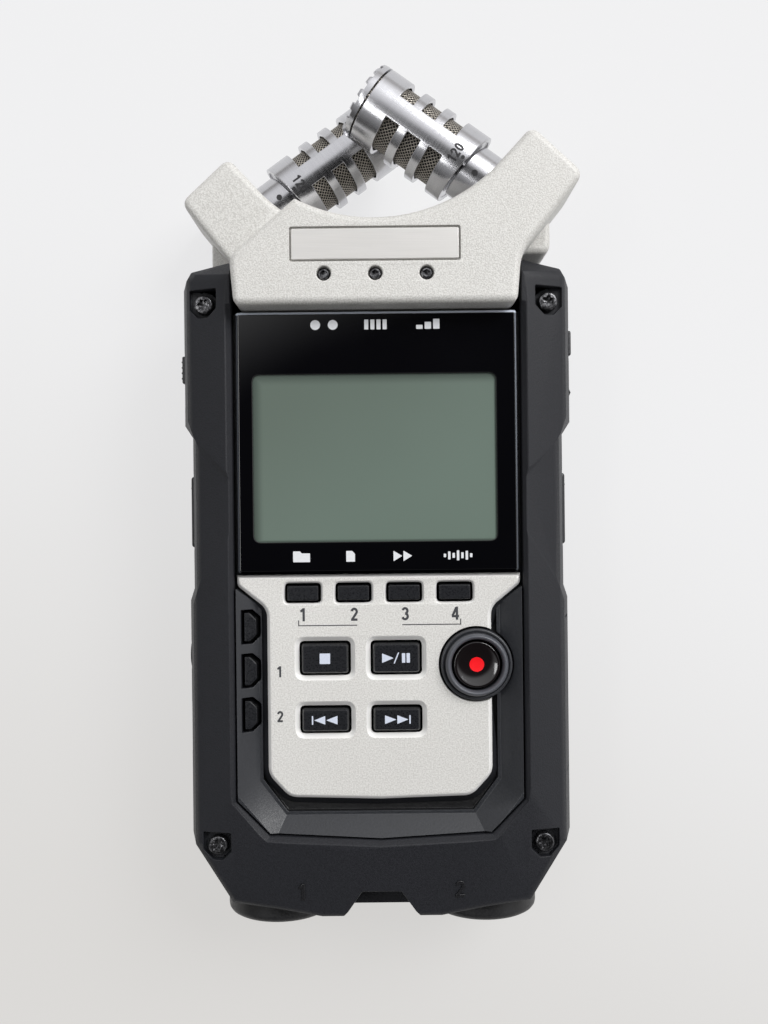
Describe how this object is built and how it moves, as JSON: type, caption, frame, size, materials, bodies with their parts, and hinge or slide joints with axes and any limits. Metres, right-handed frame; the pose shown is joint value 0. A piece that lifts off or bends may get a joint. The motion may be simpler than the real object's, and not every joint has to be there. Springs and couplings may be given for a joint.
{
  "type": "handheld audio recorder",
  "caption": "Handheld audio recorder with crossed swivelling microphones on a silver head, rubber edged body, display, transport keys, side controls and combination jacks.",
  "frame": {"origin": "middle of the flat back, in the plane that the recorder rests on", "axes": "+X to the recorder's right seen from its front, +Y along its length towards the microphones, +Z out of its front face"},
  "size_m": [0.0712, 0.1493, 0.0346],
  "materials": {
    "rubber": "matt dark grey rubber with a fine grain",
    "dark_plastic": "satin dark grey plastic",
    "key_plastic": "satin near black plastic",
    "gloss_black": "glossy black plastic",
    "silver_paint": "warm silver satin paint with a fine grain, on plastic",
    "panel_paint": "warm silver satin finish",
    "display_glass": "black backed clear window, glossy",
    "display_screen": "grey green liquid crystal display",
    "bright_aluminium": "turned and brushed bright metal",
    "wire_mesh": "woven wire",
    "black_steel": "blackened steel",
    "brass": "turned brass",
    "circuit": "green circuit board",
    "cell_wrap": "printed wrap of a dry cell"
  },
  "bodies": {
    "recorder": {"outer_frame": "rubber", "rear_cover": "rubber", "front_deck": "dark_plastic", "record_ring": "dark_plastic", "combo_jack_1": "dark_plastic", "combo_jack_2": "dark_plastic", "mic_in_socket": "dark_plastic", "headphone_socket": "dark_plastic", "dc_socket": "dark_plastic", "memory_card": "key_plastic", "head_front": "silver_paint", "head_rear": "silver_paint", "control_panel": "panel_paint", "display_window": "display_glass", "lcd_module": "display_screen", "name_plate": "bright_aluminium", "usb_socket": "bright_aluminium", "mic_stem_right": "bright_aluminium", "mic_stem_left": "bright_aluminium", "head_screw_1": "black_steel", "head_screw_2": "black_steel", "head_screw_3": "black_steel", "frame_screw_upper_left": "black_steel", "frame_screw_upper_right": "black_steel", "frame_screw_lower_left": "black_steel", "frame_screw_lower_right": "black_steel", "speaker": "black_steel", "tripod_bush": "brass", "main_board": "circuit", "battery_1": "cell_wrap", "battery_2": "cell_wrap"},
    "stop_key": {"stop_key": "key_plastic"},
    "play_key": {"play_key": "key_plastic"},
    "rewind_key": {"rewind_key": "key_plastic"},
    "forward_key": {"forward_key": "key_plastic"},
    "record_key": {"record_key": "gloss_black"},
    "function_key_1": {"function_key_1": "key_plastic"},
    "function_key_2": {"function_key_2": "key_plastic"},
    "function_key_3": {"function_key_3": "key_plastic"},
    "function_key_4": {"function_key_4": "key_plastic"},
    "input_key_mic": {"input_key_mic": "key_plastic"},
    "input_key_1": {"input_key_1": "key_plastic"},
    "input_key_2": {"input_key_2": "key_plastic"},
    "menu_key": {"menu_key": "key_plastic"},
    "power_switch": {"power_switch": "key_plastic"},
    "volume_rocker": {"volume_rocker": "key_plastic"},
    "level_rocker": {"level_rocker": "key_plastic"},
    "scroll_wheel": {"scroll_wheel": "key_plastic"},
    "battery_door": {"battery_door": "rubber"},
    "card_door": {"card_door": "rubber"},
    "jack_latch_1": {"jack_latch_1": "key_plastic"},
    "jack_latch_2": {"jack_latch_2": "key_plastic"},
    "microphone_right": {"mic_barrel_right": "bright_aluminium", "mic_mesh_right": "wire_mesh", "mic_cap_right": "bright_aluminium", "mic_capsule_right": "black_steel"},
    "microphone_left": {"mic_barrel_left": "bright_aluminium", "mic_mesh_left": "wire_mesh", "mic_cap_left": "bright_aluminium", "mic_capsule_left": "black_steel"}
  },
  "joints": [
    {"name": "stop_key_press", "type": "slide", "parent": "recorder", "child": "stop_key", "axis": [0, 0, -1], "range_m": [0, 0.0005], "stiffness_N_per_m": 400},
    {"name": "play_key_press", "type": "slide", "parent": "recorder", "child": "play_key", "axis": [0, 0, -1], "range_m": [0, 0.0005], "stiffness_N_per_m": 400},
    {"name": "rewind_key_press", "type": "slide", "parent": "recorder", "child": "rewind_key", "axis": [0, 0, -1], "range_m": [0, 0.0005], "stiffness_N_per_m": 400},
    {"name": "forward_key_press", "type": "slide", "parent": "recorder", "child": "forward_key", "axis": [0, 0, -1], "range_m": [0, 0.0005], "stiffness_N_per_m": 400},
    {"name": "record_key_press", "type": "slide", "parent": "recorder", "child": "record_key", "axis": [0, 0, -1], "range_m": [0, 0.0005], "stiffness_N_per_m": 400},
    {"name": "function_key_1_press", "type": "slide", "parent": "recorder", "child": "function_key_1", "axis": [0, 0, -1], "range_m": [0, 0.0005], "stiffness_N_per_m": 400},
    {"name": "function_key_2_press", "type": "slide", "parent": "recorder", "child": "function_key_2", "axis": [0, 0, -1], "range_m": [0, 0.0005], "stiffness_N_per_m": 400},
    {"name": "function_key_3_press", "type": "slide", "parent": "recorder", "child": "function_key_3", "axis": [0, 0, -1], "range_m": [0, 0.0005], "stiffness_N_per_m": 400},
    {"name": "function_key_4_press", "type": "slide", "parent": "recorder", "child": "function_key_4", "axis": [0, 0, -1], "range_m": [0, 0.0005], "stiffness_N_per_m": 400},
    {"name": "input_key_mic_press", "type": "slide", "parent": "recorder", "child": "input_key_mic", "axis": [0, 0, -1], "range_m": [0, 0.0005], "stiffness_N_per_m": 400},
    {"name": "input_key_1_press", "type": "slide", "parent": "recorder", "child": "input_key_1", "axis": [0, 0, -1], "range_m": [0, 0.0005], "stiffness_N_per_m": 400},
    {"name": "input_key_2_press", "type": "slide", "parent": "recorder", "child": "input_key_2", "axis": [0, 0, -1], "range_m": [0, 0.0005], "stiffness_N_per_m": 400},
    {"name": "menu_key_press", "type": "slide", "parent": "recorder", "child": "menu_key", "axis": [-1, 0, 0], "range_m": [0, 0.0004], "stiffness_N_per_m": 400},
    {"name": "power_switch_slide", "type": "slide", "parent": "recorder", "child": "power_switch", "axis": [0, -1, 0], "range_m": [0, 0.004]},
    {"name": "volume_rocker_tilt", "type": "hinge", "parent": "recorder", "child": "volume_rocker", "pos_m": [-0.0324, -0.003, 0.0151], "axis": [0, 0, 1], "range_deg": [-4, 4], "stiffness_Nm_per_rad": 0.05},
    {"name": "level_rocker_tilt", "type": "hinge", "parent": "recorder", "child": "level_rocker", "pos_m": [0.0324, -0.003, 0.0151], "axis": [0, 0, 1], "range_deg": [-4, 4], "stiffness_Nm_per_rad": 0.05},
    {"name": "scroll_wheel_spin", "type": "hinge", "parent": "recorder", "child": "scroll_wheel", "pos_m": [0.0295, 0.0182, 0.0151], "axis": [0, 0, 1], "continuous": true},
    {"name": "battery_door_hinge", "type": "hinge", "parent": "recorder", "child": "battery_door", "pos_m": [0, 0.0036, 0], "axis": [1, 0, 0], "range_deg": [0, 100]},
    {"name": "card_door_hinge", "type": "hinge", "parent": "recorder", "child": "card_door", "pos_m": [0.034, -0.036, 0.01875], "axis": [0, 1, 0], "range_deg": [0, 95]},
    {"name": "jack_latch_1_press", "type": "slide", "parent": "recorder", "child": "jack_latch_1", "axis": [0, 1, 0], "range_m": [0, 0.001], "stiffness_N_per_m": 400},
    {"name": "jack_latch_2_press", "type": "slide", "parent": "recorder", "child": "jack_latch_2", "axis": [0, 1, 0], "range_m": [0, 0.001], "stiffness_N_per_m": 400},
    {"name": "microphone_right_swivel", "type": "hinge", "parent": "recorder", "child": "microphone_right", "pos_m": [0.01578, 0.056, 0.0263], "axis": [-0.729, 0.6845, 0], "range_deg": [0, 180]},
    {"name": "microphone_left_swivel", "type": "hinge", "parent": "recorder", "child": "microphone_left", "pos_m": [-0.01578, 0.056, 0.0105], "axis": [0.729, 0.6845, 0], "range_deg": [0, 180]}
  ]
}
